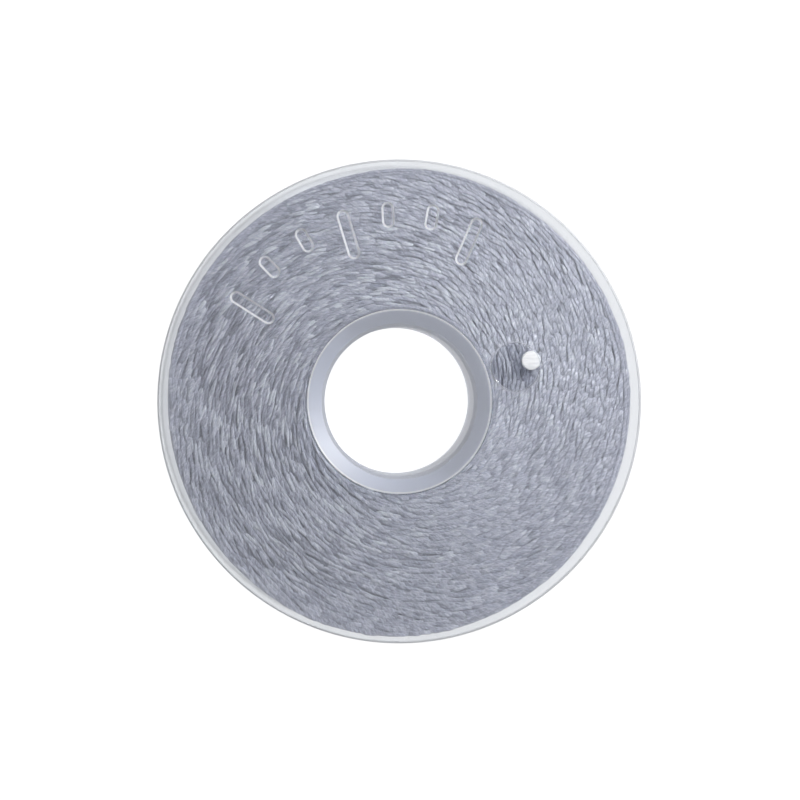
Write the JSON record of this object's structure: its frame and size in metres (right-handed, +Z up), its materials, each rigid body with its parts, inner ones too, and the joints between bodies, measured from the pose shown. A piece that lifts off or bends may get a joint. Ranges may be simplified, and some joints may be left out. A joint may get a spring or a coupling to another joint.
{
  "type": "sewing bobbin",
  "caption": "Pre-wound sewing bobbin: a clear moulded spool with flat flanges and a spindle bore, filled level with fine blue-grey filament thread.",
  "frame": {"origin": "on the spool's axis, at the outer face of the plain lower flange on which it rests", "axes": "+Z along the bore's axis towards the flange with the gate well and the row of strokes; +Z is up; +X and +Y follow the strokes, whose row is centred 17 degrees past +Y towards -X"},
  "size_m": [0.0204, 0.0204, 0.0089],
  "materials": {
    "clear_polystyrene": "clear polystyrene, glossy, slightly hazed",
    "polyester_filament": "blue-grey trilobal polyester filament thread, satin"
  },
  "bodies": {
    "root": {"upper_half": "clear_polystyrene", "lower_half": "clear_polystyrene", "thread_package": "polyester_filament", "outer_turns": "polyester_filament"}
  },
  "joints": []
}
